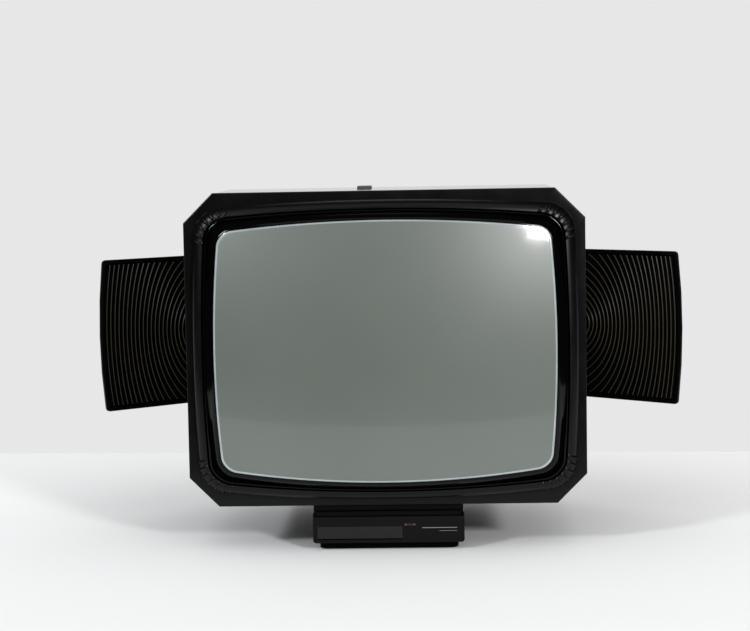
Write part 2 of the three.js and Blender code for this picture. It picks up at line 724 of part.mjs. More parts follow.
function makeConnectors(back) {
  const [panelLeft, panelRight, panelLow, panelHigh] = PANEL_FRAME;
  const [aerialX, aerialZ] = AERIAL_PLACE;
  const [avLeft, avRight, avLow, avHigh] = AV_FRAME;
  const [inletLeft, inletRight, inletLow, inletHigh] = INLET_FRAME;
  const avGap = 0.4;
  const avWall = 1.5;
  const panel = box(
    panelLeft + GAP, panelRight - GAP, back - 2.8, back - 0.4, panelLow + GAP, panelHigh - GAP,
  );
  const aerialHole = rod('y', AERIAL_RADIUS + 0.5, back - 5, back + 1, aerialX, aerialZ, 16);
  const avHole = box(
    avLeft - avGap, avRight + avGap, back - 5, back + 1, avLow - avGap, avHigh + avGap,
  );
  add('connector_panel', cut(panel, aerialHole, avHole), 'grey');
  const aerial = turned([
    [1.2, back - 12], [AERIAL_RADIUS, back - 12], [AERIAL_RADIUS, back], [1.2, back],
    [1.2, back - 12],
  ], aerialX, aerialZ, 16);
  add('aerial_socket', aerial, 'brass');
  const socket = box(avLeft, avRight, back - 14, back, avLow, avHigh);
  const socketHollow = box(
    avLeft + avWall, avRight - avWall, back - 11, back + 1, avLow + avWall, avHigh - avWall,
  );
  add('av_socket', cut(socket, socketHollow), 'dark');
  const inlet = box(
    inletLeft + GAP, inletRight - GAP, back - 16, back, inletLow + GAP, inletHigh - GAP,
  );
  const inletHollow = box(
    inletLeft + 2, inletRight - 2, back - 13, back + 1, inletLow + 2, inletHigh - 2,
  );
  const pinZ = (inletLow + inletHigh) / 2;
  const pins = [inletLeft + 9, inletRight - 9].map((x) => rod(
    'y', 1.6, back - 14, back - 4, x, pinZ, 8,
  ));
  add('mains_inlet', join(cut(inlet, inletHollow), ...pins), 'dark');
  const tuner = box(
    panelLeft + 2, panelLeft + 38, back - 70, back - 14, panelLow + 8, panelHigh - 7,
  );
  add('tuner_box', tuner, 'steel');
}

// ---------- picture tube ----------
function makeTube() {
  const inner = (x, z) => glassFront(x, z) + GLASS_THICKNESS;
  const apex = FLANGE_Y - GLASS_RISE;
  const roll = PANEL_ROLL.map(([offset, drop]) => ring(
    offset, (x, z) => glassFront(x, z) + drop,
  ));
  const panel = skin([
    [[0, apex, SCREEN_Z]],
    ring(0, glassFront, 0.35), ring(0, glassFront, 0.7), ring(0, glassFront), ...roll,
    ring(PANEL_OFFSET, -141), ring(7, -136), ring(6.5, SEAL_Y),
    ring(-4.5, SEAL_Y), ring(-6, inner), ring(-6, inner, 0.5),
    [[0, apex + GLASS_THICKNESS, SCREEN_Z]],
  ]);
  add('face_panel', panel, 'glass');

  const sheetDepth = GLASS_THICKNESS + SHEET_GAP;
  const sheet = (x, z) => glassFront(x, z) + sheetDepth;
  const sheetBack = (x, z) => sheet(x, z) + SHEET_THICKNESS;
  add('shadow_mask', skin([
    [[0, apex + sheetDepth, SCREEN_Z]],
    ring(SHEET_OFFSET, sheet, 0.5), ring(SHEET_OFFSET, sheet),
    ring(SHEET_OFFSET, sheetBack), ring(SHEET_OFFSET, sheetBack, 0.5),
    [[0, apex + sheetDepth + SHEET_THICKNESS, SCREEN_Z]],
  ]), 'dark');

  const [bandInner, bandOuter] = BAND_OFFSETS;
  const [bandFront, bandBack] = BAND_DEPTHS;
  const band = skin([
    ring(bandInner, bandFront), ring(bandOuter, bandFront),
    ring(bandOuter, bandBack), ring(bandInner, bandBack),
  ]);
  const lugs = [[1, 1], [-1, 1], [-1, -1], [1, -1]].map(([sx, sz]) => {
    const lug = box(-13, 13, bandFront, bandFront + 2.4, -16, 16);
    const tilt = Math.atan2(sx, sz);
    return lug.rotateY(tilt).translate(sx * LUG_PLACE[0], 0, SCREEN_Z + sz * LUG_PLACE[1]);
  });
  const core = outlinePrism(8, -140, -100);
  const cutLugs = lugs.map((lug) => cut(lug, core));
  add('tension_band', join(band, ...cutLugs), 'steel');

  add('crt_funnel', makeFunnel(), 'clearGlass');

  const degauss = Array.from({ length: 6 }, (_, i) => {
    const angle = i / 6 * 2 * Math.PI;
    return ring(
      DEGAUSS_OFFSET + DEGAUSS_RADIUS * Math.cos(angle),
      DEGAUSS_Y + DEGAUSS_RADIUS * Math.sin(angle),
    );
  });
  add('degauss_coil', skin(degauss), 'rubber');

  add('yoke_coils', turned([
    [53, 24], [66, 24], [66, 30], [38, 62], [36, 94], [17.5, 94], [17.5, 72], [23, 58],
    [34, 40], [53, 24],
  ]), 'copper');
  add('yoke_core', turned([
    [69, 32], [74, 34], [56, 62], [50, 78], [38.5, 78], [40, 64], [69, 32],
  ]), 'ferrite');
  const rings = turned([[15.2, 106], [24, 106], [24, 120], [15.2, 120], [15.2, 106]]);
  const tabs = [0, 1].map((i) => box(
    -4, 4, 108 + 6 * i, 110 + 6 * i, SCREEN_Z + 22, SCREEN_Z + 33,
  ));
  add('purity_rings', join(rings, ...tabs), 'dark');
  add('electron_gun', turned([
    [0, 118], [8, 118], [8, 150], [9.5, 152], [9.5, 176], [6, 178], [6, 200], [0, 200],
  ], 0, SCREEN_Z, 16), 'steel');
  add('tube_base', turned([
    [0, 204], [10.8, 204], [10.8, NECK_END + GAP], [NECK_RADIUS, NECK_END + GAP],
    [NECK_RADIUS, 227], [0, 227],
  ], 0, SCREEN_Z, 20), 'dark');
  const boardY = NECK_END + 14;
  const board = box(
    -36, 36, boardY, boardY + BOARD_THICKNESS, SCREEN_Z - 40, SCREEN_Z + 32,
  );
  const boardHole = rod('y', 5, 225, 232, 0, SCREEN_Z, 14);
  add('neck_board', cut(board, boardHole), 'pcb');
}

// one ring of the funnel's flare, between the panel's outline and a circle
function flareRing(t, offset, radius) {
  const weight = t ** FLARE_POWER;
  const y = mix(SEAL_Y + GAP, FLARE_END, t);
  return screenOutline(offset).map(([x, z]) => {
    const reach = Math.hypot(x, z);
    return [
      mix(x, x / reach * radius, weight), y,
      mix(z, z / reach * radius, weight) + SCREEN_Z,
    ];
  });
}

function circleRing(y, radius) {
  return screenOutline(0).map(([x, z]) => {
    const reach = Math.hypot(x, z);
    return [x / reach * radius, y, z / reach * radius + SCREEN_Z];
  });
}

function makeFunnel() {
  const steps = [0, 0.35, 0.7, 1];
  const outside = steps.map((t) => flareRing(t, FUNNEL_OFFSET, FLARE_RADIUS));
  const inside = steps.map((t) => flareRing(t, -4, FLARE_RADIUS - 4));
  const throat = [[42, 28], [58, 18.5], [NECK_START, NECK_RADIUS], [NECK_END, NECK_RADIUS]];
  const throatOutside = throat.map(([y, radius]) => circleRing(y, radius));
  const throatInside = throat.map(([y, radius]) => circleRing(y, radius - 3));
  return skin([
    ...outside, ...throatOutside, ...throatInside.reverse(), ...inside.reverse(),
  ]);
}

// ---------- chassis ----------
function makeChassis() {
  const boardTop = CHASSIS_Z + BOARD_THICKNESS + GAP;
  const board = box(-185, 185, -60, 112, CHASSIS_Z, CHASSIS_Z + BOARD_THICKNESS);
  add('chassis_board', board, 'pcb');

  const [flybackX, flybackY] = FLYBACK_PLACE;
  const coilBox = box(
    flybackX - 24, flybackX + 24, flybackY - 22, flybackY + 22, boardTop, boardTop + 52,
  );
  const ferrite = box(
    flybackX - 34, flybackX + 34, flybackY - 8, flybackY + 8, boardTop + 12, boardTop + 40,
  );
  const outlet = rod('z', 7, boardTop + 50, boardTop + 60, flybackX, flybackY, 14);
  add('flyback_transformer', join(coilBox, ferrite, outlet), 'dark');

  const [coreX, coreY] = MAINS_CORE_PLACE;
  const bobbin = box(
    coreX - 24, coreX + 24, coreY - 30, coreY + 30, boardTop + 12, boardTop + 44,
  );
  const core = box(
    coreX - 34, coreX + 34, coreY - 18, coreY + 18, boardTop, boardTop + 56,
  );
  add('mains_transformer', join(bobbin, core), 'ferrite');

  const sinkBase = box(-60, 60, 84, 88, boardTop, boardTop + 48);
  const fins = Array.from({ length: FIN_COUNT }, (_, i) => {
    const x = -58 + i * FIN_PITCH;
    return box(x - 1, x + 1, 87, 104, boardTop, boardTop + 48);
  });
  add('heat_sink', join(sinkBase, ...fins), 'steel');

  const surfaceZ = capSeat();
  const cap = turned([
    [0, 0], [17, 0], [17, 1.5], [9, 5], [7, 9], [0, 9],
  ], 0, 0, 20);
  cap.rotateX(Math.PI / 2 - CAP_TILT).translate(0, CAP_Y, surfaceZ);
  add('anode_cap', cap, 'rubber');

  const route = new THREE.CatmullRomCurve3([
    [0, CAP_Y + 9, surfaceZ + 12], [14, CAP_Y + 13, surfaceZ + 19],
    [52, CAP_Y + 24, surfaceZ + 24], [112, 10, surfaceZ - 14], [152, 40, 290],
    [160, 52, 220], [150, 53, 170], [flybackX, flybackY, boardTop + 61],
  ].map((point) => new THREE.Vector3(...point)));
  const section = shapeOf(Array.from({ length: 8 }, (_, i) => {
    const angle = i / 8 * 2 * Math.PI;
    return [LEAD_RADIUS * Math.cos(angle), LEAD_RADIUS * Math.sin(angle)];
  }));
  add('anode_lead', new THREE.ExtrudeGeometry(section, {
    extrudePath: route, steps: 26, bevelEnabled: false,
  }), 'rubber');
}

// height of the anode cap's seat on the funnel
function capSeat() {
  const t = (CAP_Y - SEAL_Y - GAP) / (FLARE_END - SEAL_Y - GAP);
  const top = mix(OPENING_HALF_HEIGHT + FUNNEL_OFFSET, FLARE_RADIUS, t ** FLARE_POWER);
  return SCREEN_Z + top + 4;
}

// ---------- loudspeaker wings ----------
// [x, z] points from the hinge end round a bowed outer edge with rounded corners
function wingEdge(start, reach, halfHeight, side, corner = 2) {
  const bowed = (z) => reach - WING_BOW * (z / (WING_HEIGHT / 2)) ** 2;
  const centre = halfHeight - corner;
  const upper = [[bowed(0), 0], [bowed(centre / 2), centre / 2]];
  for (let i = 0; i <= 3; i += 1) {
    const angle = i / 3 * Math.PI / 2;
    upper.push([
      bowed(centre) - corner * (1 - Math.cos(angle)), centre + corner * Math.sin(angle),
    ]);
  }
  upper.push([start, halfHeight]);
  const lower = upper.slice(1).reverse().map(([x, z]) => [x, -z]);
  return [...lower, ...upper].map(([x, z]) => [side * x, z]);
}

// the wing's outer shape: a straight rim in front, then sides that slope in to the back
function wingBlock(side) {
  const halfThickness = WING_THICKNESS / 2;
  const halfHeight = WING_HEIGHT / 2;
  const rimBack = WING_RIM - halfThickness;
  const rim = wingEdge(-halfThickness, WING_REACH, halfHeight, side, WING_CORNER);
  const back = wingEdge(
    -halfThickness, WING_REACH - WING_TAPER[0], halfHeight - WING_TAPER[1], side, WING_CORNER,
  );
  const level = (outline, y) => outline.map(([x, z]) => [x, y, z]);
  return skin([
    [[0, -halfThickness, 0]],
    level(rim, -halfThickness), level(rim, rimBack), level(back, halfThickness),
    [[0, halfThickness, 0]],
  ]);
}

function makeWing(side, word) {
  const wing = new THREE.Group();
  wing.position.set(side * WING_PIVOT[0], WING_PIVOT[1], SCREEN_Z);
  wing.rotation.z = -side * WING_OPEN;
  monitor.add(wing);

  const halfThickness = WING_THICKNESS / 2;
  const halfHeight = WING_HEIGHT / 2;
  const front = -halfThickness;
  const plan = [];
  for (let i = 0; i <= 8; i += 1) {
    const angle = Math.PI / 2 + i / 8 * Math.PI;
    plan.push([side * halfThickness * Math.cos(angle), halfThickness * Math.sin(angle)]);
  }
  plan.push([side * (WING_REACH + 5), front], [side * (WING_REACH + 5), halfThickness]);
  const rounded = fromSolid(
    solid(wingBlock(side)).intersect(solid(prismZ(plan, -halfHeight - 1, halfHeight + 1))),
  );
  const grilleBack = front + GRILLE_THICKNESS + GAP;
  const seat = prismY(
    wingEdge(GRILLE_START, GRILLE_END, GRILLE_HALF_HEIGHT, side), front - 1, grilleBack,
  );
  const cavity = prismY(
    wingEdge(
      GRILLE_START + 3, WING_REACH - WING_TAPER[0] - 4, halfHeight - WING_TAPER[1] - 4, side,
    ),
    front, halfThickness - WING_WALL,
  );
  const bore = rod(
    'z', HINGE_PIN_RADIUS + GAP, -halfHeight - 1, halfHeight + 1, 0, 0, 16,
  );
  add(`wing_shell_${word}`, cut(rounded, seat, cavity, bore), 'satin', wing);
  add(`speaker_grille_${word}`, prismY(
    wingEdge(GRILLE_START + GAP, GRILLE_END - GAP, GRILLE_HALF_HEIGHT - GAP, side),
    front, grilleBack - GAP,
  ), 'grille', wing);
  add(`hinge_pin_${word}`, rod(
    'z', HINGE_PIN_RADIUS, 1.2 - BRACKET_HALF_HEIGHT, BRACKET_HALF_HEIGHT - 1.2, 0, 0, 14,
  ), 'steel', wing);

  const seatY = grilleBack + 0.2;
  const centre = side * DRIVER_S;
  add(`speaker_frame_${word}`, turned([
    [DRIVER_RADIUS, seatY], [DRIVER_RADIUS, seatY + 1.5], [41, seatY + 1.5],
    [24, seatY + 12], [12, seatY + 12], [12, seatY + 10.8], [23, seatY + 10.8],
    [39.5, seatY], [DRIVER_RADIUS, seatY],
  ], centre, 0, 20), 'steel', wing);
  add(`speaker_cone_${word}`, turned([
    [38.2, seatY], [38.2, seatY + 0.6], [12, seatY + 9.2], [0, seatY + 8],
    [0, seatY + 7], [12, seatY + 8], [37, seatY], [38.2, seatY],
  ], centre, 0, 20), 'paper', wing);
  add(`speaker_magnet_${word}`, rod(
    'y', 22, seatY + 12.3, halfThickness - WING_WALL - GAP, centre, 0, 20,
  ), 'ferrite', wing);
}

makePedestal();
makeCabinet();
makeTube();
makeChassis();
makeWing(-1, 'left');
makeWing(1, 'right');

export default monitor;
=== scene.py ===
"""The looks of a 1980s television monitor: an octagonal set with a bulging picture tube,
two loudspeaker wings and a low control pedestal.

Metres, in the CAD frame: +X is the viewer's right, the screen faces -Y and +Z is up.
"""
import math

import bmesh
import bpy
from mathutils import Matrix, Vector


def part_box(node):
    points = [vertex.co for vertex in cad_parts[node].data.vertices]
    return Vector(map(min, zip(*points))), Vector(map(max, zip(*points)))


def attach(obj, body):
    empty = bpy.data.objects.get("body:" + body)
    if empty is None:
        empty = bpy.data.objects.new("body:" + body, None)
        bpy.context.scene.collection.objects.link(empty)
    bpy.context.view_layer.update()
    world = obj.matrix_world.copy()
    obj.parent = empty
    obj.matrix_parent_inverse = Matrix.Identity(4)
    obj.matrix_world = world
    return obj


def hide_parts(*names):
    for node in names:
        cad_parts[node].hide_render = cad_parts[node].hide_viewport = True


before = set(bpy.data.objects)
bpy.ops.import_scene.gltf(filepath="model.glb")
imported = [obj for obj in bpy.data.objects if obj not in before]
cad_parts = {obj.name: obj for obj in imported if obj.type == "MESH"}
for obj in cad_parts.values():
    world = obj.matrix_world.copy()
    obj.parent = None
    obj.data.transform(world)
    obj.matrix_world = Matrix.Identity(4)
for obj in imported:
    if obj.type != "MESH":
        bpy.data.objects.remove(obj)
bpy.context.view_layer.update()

MM = 0.001

# ---------- places read from the frame ----------
bezel_low, bezel_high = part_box("front_bezel")
glass_low, glass_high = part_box("face_panel")
lens_low, lens_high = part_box("indicator_lens")
shell_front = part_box("cabinet_shell")[0].y
fascia_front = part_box("front_fascia")[0].y
floor_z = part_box("foot_strip_left")[0].z

FLANGE_THICKNESS = 14 * MM
SHELL_GAP = 0.3 * MM             # between the flange and the cabinet shell
FLANGE_FRONT = shell_front - FLANGE_THICKNESS - SHELL_GAP
FLANGE_BACK = FLANGE_FRONT + FLANGE_THICKNESS
FLANGE_HALF = (bezel_high.x, (bezel_high.z - bezel_low.z) / 2)
SCREEN_Z = (bezel_high.z + bezel_low.z) / 2
CHAMFER = 37 * MM
FLANGE_EDGE = 1.3 * MM           # rounding of the flange's outer edges

# ---------- the outlines round the screen ----------
# Each outline is the opening over the glass, moved outward by an offset.
PANEL_OFFSET = 8.6 * MM          # edge of the glass panel
GROOVE_OFFSET = 14.3 * MM        # inner edge of the bezel's shoulder
SHOULDER_OFFSET = 24.5 * MM      # foot of the shoulder on the flange
OFFSET_STRETCH = 1.14            # offsets are this much wider at the sides
OPENING_HALF = (
    glass_high.x - PANEL_OFFSET * OFFSET_STRETCH,
    (glass_high.z - glass_low.z) / 2 - PANEL_OFFSET,
)
OPENING_BOW = (7 * MM, 13.5 * MM)
GROOVE_BOW = (5.5 * MM, 11 * MM)
OPENING_CORNER = 18 * MM
GROOVE_CORNER = 27 * MM
GLASS_RADIUS = 900 * MM
GLASS_APEX = glass_low.y
CREST_RADIUS = 1500 * MM
CREST_APEX = FLANGE_FRONT - 35 * MM

# how far the glass rolls back from its dome near its edge: offset, drop
PANEL_ROLL = ((3 * MM, 0.8 * MM), (6 * MM, 3.2 * MM), (PANEL_OFFSET, 7.5 * MM))
PANEL_ROLL_POWER = 2.1
CLOSE_SHARE = 0.14               # share of a side, next to its corner, with fine steps

# ---------- the ribs on the bezel's corners ----------
RIBS_PER_CORNER = 7
RIB_PITCH = 9.4 * MM
RIB_HEIGHT = 1.35 * MM
RIB_RISE = (0.2, 0.36)           # shares of the pitch
RIB_FALL = (0.54, 0.7)
RIB_START = (14, 34)             # degrees up the shoulder
RIB_END = (80, 90)
SHOULDER_FLOOR = 0.1 * MM        # the shoulder ends this far in front of the flange

# ---------- the gloss surround ----------
MASK_OUTER = GROOVE_OFFSET - 1.7 * MM
MASK_BEAD = 1.2 * MM             # radius of the bead on the outer edge
MASK_BEAD_TURN = math.pi * 0.72
MASK_BACK = FLANGE_FRONT + 16 * MM
SLOPE_START = MASK_OUTER - 2.4 * MM
SLOPE_SINK = 1.0 * MM            # foot of the slope, behind the bezel's crest
SLOPE_VALLEY = 4.0 * MM          # deeper towards the corners
VALLEY_RANGE = (0.3, 0.85)
SLOPE_RISE = 1.0 * MM            # top of the slope, in front of the glass
MASK_LIP = 0.3 * MM
MASK_LIP_WIDTH = 0.5 * MM
LIP_PROFILE = ((0.15 * MM, 0.85 * MM), (0.0, 0.55 * MM), (0.0, 0.2 * MM))
MASK_CLEARANCE = 0.9 * MM        # least cover in front of the rolled glass
ROLL_OVERLAP = 0.2 * MM
MASK_SKIRT = PANEL_OFFSET + 0.7 * MM

# ---------- the glass panel ----------
DOME_SCALES = (0.02, 0.1, 0.2, 0.3, 0.4, 0.5, 0.6, 0.7, 0.8, 0.9, 0.97)
HOLLOW_SCALES = (1.0, 0.75, 0.5, 0.25, 0.02)
GLASS_THICKNESS = 12 * MM
PANEL_SIDE = FLANGE_FRONT + 9 * MM
SEAL_OUTER = 6.5 * MM
SEAL_INNER = -4.5 * MM
HOLLOW_OFFSET = -6 * MM
RIM_PROUD = 0.12 * MM
RIM_SINK = -0.3 * MM
RIM_PROFILE = (                  # the rim, whose pale tone is partly a painted highlight: offset, height over the glass
    (-1.7 * MM, RIM_SINK), (-1.7 * MM, RIM_PROUD * 0.4), (-1.2 * MM, RIM_PROUD),
    (0.0, RIM_PROUD), (0.28 * MM, RIM_PROUD * 0.4), (0.28 * MM, RIM_SINK),
)

# ---------- the loudspeaker wings ----------
WING_OPEN = math.radians(38.7)
WING_HALF_THICKNESS = 12 * MM
WING_BOW = 6.5 * MM
WING_HALF_HEIGHT = 103.75 * MM
GRILLE_START = 14 * MM           # from the hinge's axis
GRILLE_END = 203.8 * MM
GRILLE_HALF_HEIGHT = 98.7 * MM
GRILLE_CORNER = 3 * MM
GRILLE_PLATE = (                 # inset, depth behind the wing's front
    (0.3 * MM, 2.5 * MM), (0.3 * MM, 2.0 * MM), (0.6 * MM, 1.7 * MM),
)
ELLIPSE_CENTRE = 10.3 * MM       # from the hinge's axis
ELLIPSE_LAST = 188.0 * MM
ELLIPSE_STEP = 6.326 * MM
ELLIPSE_COUNT = 27
ELLIPSE_SHARE = 0.474            # half height = share * a + swell * a * a - drop
ELLIPSE_SWELL = 7.16
ELLIPSE_DROP = 7.3 * MM
GRILLE_RIB_WIDTH = 1.45 * MM
GRILLE_RIB_HEIGHT = 1.4 * MM
GRILLE_RIB_BASE = 1.9 * MM       # behind the wing's front
GRILLE_RIB_MARGIN = 2.2 * MM
GRILLE_RIB_STEP = 4 * MM
GRILLE_RIB_LEAST_STEPS = 16
# across and rise, in shares of the rib's half width and height
GRILLE_RIB_SECTION = ((-1, 0.3), (-0.8, -0.62), (0, -1.0), (0.8, -0.62), (1, 0.3))

# ---------- marks and dots ----------
PRINT_PROUD = 0.08 * MM
PRINT_SUNK = 0.2 * MM
DOT_PLACES = (-5.4 * MM, 5.4 * MM)
DOT_HALF = 0.9 * MM
DOT_PROUD = 0.06 * MM
# printed rules on the fascia: left, right, height of the middle, thickness
MARK_RULES = (
    (42 * MM, 86 * MM, 27.5 * MM, 1.0 * MM),
    (64 * MM, 86 * MM, 23.5 * MM, 0.6 * MM),
)

BOX_FACES = (
    (0, 1, 3, 2), (4, 6, 7, 5), (0, 4, 5, 1), (2, 3, 7, 6), (0, 2, 6, 4), (1, 5, 7, 3),
)

# ---------- view, stage and lights ----------
CAMERA_DISTANCE = 2.4
CAMERA_POINT = Vector((67.6 * MM, FLANGE_FRONT - CAMERA_DISTANCE, 511.4 * MM))
CAMERA_TURN = (-1.911, 5.115, 1.016)     # yaw, pitch down and roll in degrees
CAMERA_LENS = 92.8
TABLE_DEPTH = (0.5, 0.772)       # in front of and behind the flange's front plane
TABLE_SLANT = 0.063              # how much the far edge runs off square
TABLE_PAINTED_LIGHT_RANGE = (-0.5, 0.6)         # y range of painted light: the top is painted paler towards the far edge, away from the lights
TABLE_PAINTED_LIGHT_TONE = (0.72, 0.93)        # painted light: the tone at the start and the end of that range
TABLE_HALF_WIDTH = 1.3
PALE = 0.8                       # brightness of the surroundings
DOME = (0.15, 0.92)              # soft light from low down and from overhead
DOME_RANGE = (0.2, 0.7)          # upward direction between the two
DARK_ROOM = 0.015                # what gloss mirrors, except behind the set
ROOM_RANGE = (0.4, 0.6)          # backward direction where the room turns pale
LIGHTS = (                       # name, place, target, size, power, tint
    ("overhead", (0.0, -1.5, 2.2), (0, 0, 0.2), (2.2, 1.6), 9, (1, 1, 1)),
    ("softbox_right", (2.07, -3.48, 1.56), (0, 0.3, 0.2), (0.56, 0.46), 104, (1, 1, 1)),
    ("softbox_left", (-2.65, -2.85, 2.11), (0, 0.3, 0.2), (0.55, 0.5), 74, (0.9, 0.97, 1.0)),
)


def mix(a, b, t):
    return a + (b - a) * t


def smoothstep(low, high, value):
    t = min(max((value - low) / (high - low), 0.0), 1.0)
    return t * t * (3 - 2 * t)


# ---------- mesh helpers ----------
def make_object(name, mesh):
    obj = bpy.data.objects.new(name, mesh)
    bpy.context.scene.collection.objects.link(obj)
    return obj


def finish_piece(obj, material, body, slot, *nodes):
    """Give a new piece its material and body, and hide the CAD nodes that it stands for. The slot
    is not used.
    """
    obj.data.materials.append(material)
    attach(obj, body)
    if nodes:
        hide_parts(*nodes)


def mesh_from(name, points, faces, sharp_angle=35):
    """A smooth-shaded mesh whose edges over sharp_angle degrees stay sharp."""
    mesh = bpy.data.meshes.new(name)
    mesh.from_pydata(points, [], faces)
    build = bmesh.new()
    build.from_mesh(mesh)
    bmesh.ops.recalc_face_normals(build, faces=build.faces)
    build.to_mesh(mesh)
    build.free()
    mesh.shade_smooth()
    mesh.set_sharp_from_angle(angle=math.radians(sharp_angle))
    return mesh


def skin(rings, closed=False):
    """Points and faces of a skin over rings of equal length. A closed skin joins its last
    ring to its first; otherwise each end is closed with one flat face."""
    count = len(rings[0])
    points = [point for ring in rings for point in ring]
    faces = []
    spans = len(rings) if closed else len(rings) - 1
    for r in range(spans):
        here = r * count
        there = (r + 1) % len(rings) * count
        for i in range(count):
            j = (i + 1) % count
            faces.append((here + i, here + j, there + j, there + i))
    if not closed:
        faces.append(tuple(range(count)))
        faces.append(tuple(range(len(points) - count, len(points))))
    return points, faces


# ---------- outlines ----------
def perimeter(side_steps, corner_steps, close_steps=0):
    """Places round an outline: (sign x, sign z, part, t), anticlockwise from the right.
    close_steps adds that many fine steps to each side where it meets the corner."""
    if close_steps:
        sides = [(1 - CLOSE_SHARE) * i / side_steps for i in range(side_steps)]
        sides += [1 - CLOSE_SHARE + CLOSE_SHARE * i / close_steps for i in range(close_steps)]
    else:
        sides = [i / side_steps for i in range(side_steps)]
    quarter = [("side", t) for t in sides]
    quarter += [("corner", i / corner_steps) for i in range(corner_steps + 1)]
    quarter += [("top", 1 - t) for t in reversed(sides)]
    inner = quarter[1:-1]
    first, last = quarter[0], quarter[-1]
    turns = [
        (1, 1, [first, *inner, last]),
        (-1, 1, [*reversed(inner), first]),
        (-1, -1, [*inner, last]),
        (1, -1, list(reversed(inner))),
    ]
    return [(sx, sz, part, t) for sx, sz, places in turns for part, t in places]


FINE = perimeter(12, 72, 30)
COARSE = perimeter(12, 14)


def outline_point(place, offset):
    """(x, z) of a place on the outline that lies offset outside the opening."""
    sx, sz, part, t = place
    share = offset / GROOVE_OFFSET
    half_w = OPENING_HALF[0] + offset * OFFSET_STRETCH
    half_h = OPENING_HALF[1] + offset
    corner = mix(OPENING_CORNER, GROOVE_CORNER, share)
    if part == "side":
        x, z = half_w, (half_h - corner) * t
    elif part == "corner":
        angle = t * math.pi / 2
        x = half_w - corner + corner * math.cos(angle)
        z = half_h - corner + corner * math.sin(angle)
    else:
        x, z = (half_w - corner) * (1 - t), half_h
    bow_x = mix(OPENING_BOW[0], GROOVE_BOW[0], share)
    bow_z = mix(OPENING_BOW[1], GROOVE_BOW[1], share)
    bowed_x = x - bow_x * x / half_w * (z / half_h) ** 2
    bowed_z = z - bow_z * z / half_h * (x / half_w) ** 2
    return sx * bowed_x, sz * bowed_z


def octagon_point(place, inset):
    """(x, z) of a place on the flange's octagon, moved inward by inset."""
    sx, sz, part, t = place
    half_w = FLANGE_HALF[0] - inset
    half_h = FLANGE_HALF[1] - inset
    chamfer = CHAMFER - inset * (2 - math.sqrt(2))
    if part == "side":
        x, z = half_w, (half_h - chamfer) * t
    elif part == "corner":
        x, z = half_w - chamfer * t, half_h - chamfer * (1 - t)
    else:
        x, z = (half_w - chamfer) * (1 - t), half_h
    return sx * x, sz * z


def glass_front(x, z):
    return GLASS_APEX + (x * x + z * z) / (2 * GLASS_RADIUS)


def crest_front(x, z):
    return CREST_APEX + (x * x + z * z) / (2 * CREST_RADIUS)


def outline_ring(places, offset, depth, scale=1.0):
    """A ring on an outline. depth is a y, or a function of x and z that gives it."""
    ring = []
    for place in places:
        x, z = (scale * value for value in outline_point(place, offset))
        y = depth(x, z) if callable(depth) else depth
        ring.append((x, y, z + SCREEN_Z))
    return ring


def octagon_ring(places, inset, y):
    flat = [octagon_point(place, inset) for place in places]
    return [(x, y, z + SCREEN_Z) for x, z in flat]


# ---------- materials ----------
class Recipe:
    """A small helper that grows one procedural material, node by node."""

    def __init__(self, name):
        self.material = bpy.data.materials.new(name)
        self.material.use_nodes = True
        self.tree = self.material.node_tree
        self.shader = self.tree.nodes["Principled BSDF"]
        self.coords = self.node("ShaderNodeTexCoord").outputs["Object"]

    def node(self, kind, **values):
        made = self.tree.nodes.new(kind)
        for key, value in values.items():
            if key in made.inputs:
                made.inputs[key].default_value = value
            else:
                setattr(made, key, value)
        return made

    def link(self, source, target):
        self.tree.links.new(source, target)

    def noise(self, scale, detail=3.0, stretch=None):
        noise = self.node("ShaderNodeTexNoise", Scale=scale, Detail=detail)
        source = self.coords
        if stretch:
            mapping = self.node("ShaderNodeMapping", Scale=stretch)
            self.link(source, mapping.inputs["Vector"])
            source = mapping.outputs["Vector"]
        self.link(source, noise.inputs["Vector"])
        return noise.outputs["Fac"]

    def ramp(self, source, low, high, start=0.3, stop=0.7):
        """Spread a 0 to 1 value between two numbers or two colours."""
        if isinstance(low, (int, float)):
            spread = self.node("ShaderNodeMapRange")
            names = ("From Min", "From Max", "To Min", "To Max")
            for name, value in zip(names, (start, stop, low, high)):
                spread.inputs[name].default_value = value
            self.link(source, spread.inputs["Value"])
            return spread.outputs["Result"]
        ramp = self.node("ShaderNodeValToRGB")
        ramp.color_ramp.elements[0].position = start
        ramp.color_ramp.elements[1].position = stop
        ramp.color_ramp.elements[0].color = (*low, 1)
        ramp.color_ramp.elements[1].color = (*high, 1)
        self.link(source, ramp.inputs["Fac"])
        return ramp.outputs["Color"]

    def set(self, name, value):
        if hasattr(value, "is_linked"):
            self.link(value, self.shader.inputs[name])
        else:
            self.shader.inputs[name].default_value = value

    def bump(self, source, strength, distance):
        bump = self.node("ShaderNodeBump", Strength=strength, Distance=distance)
        previous = self.shader.inputs["Normal"]
        if previous.is_linked:
            self.link(previous.links[0].from_socket, bump.inputs["Normal"])
        self.link(source, bump.inputs["Height"])
        self.link(bump.outputs["Normal"], previous)


def plastic(name, dark, light, roughness, grain=1800, grain_depth=0.02, coat=0.0, shine=0.3):
    """Moulded plastic: fine grain, slow tone changes and slightly uneven gloss."""
    recipe = Recipe(name)
    recipe.set("Base Color", recipe.ramp(recipe.noise(9, 4), dark, light))
    recipe.set("Roughness", recipe.ramp(recipe.noise(34, 5), *roughness))
    recipe.set("Specular IOR Level", shine)
    recipe.set("Coat Weight", coat)
    recipe.bump(recipe.noise(grain, 2), 0.25, grain_depth * MM)
    recipe.bump(recipe.noise(16, 2), 0.05, 0.2 * MM)
    return recipe.material


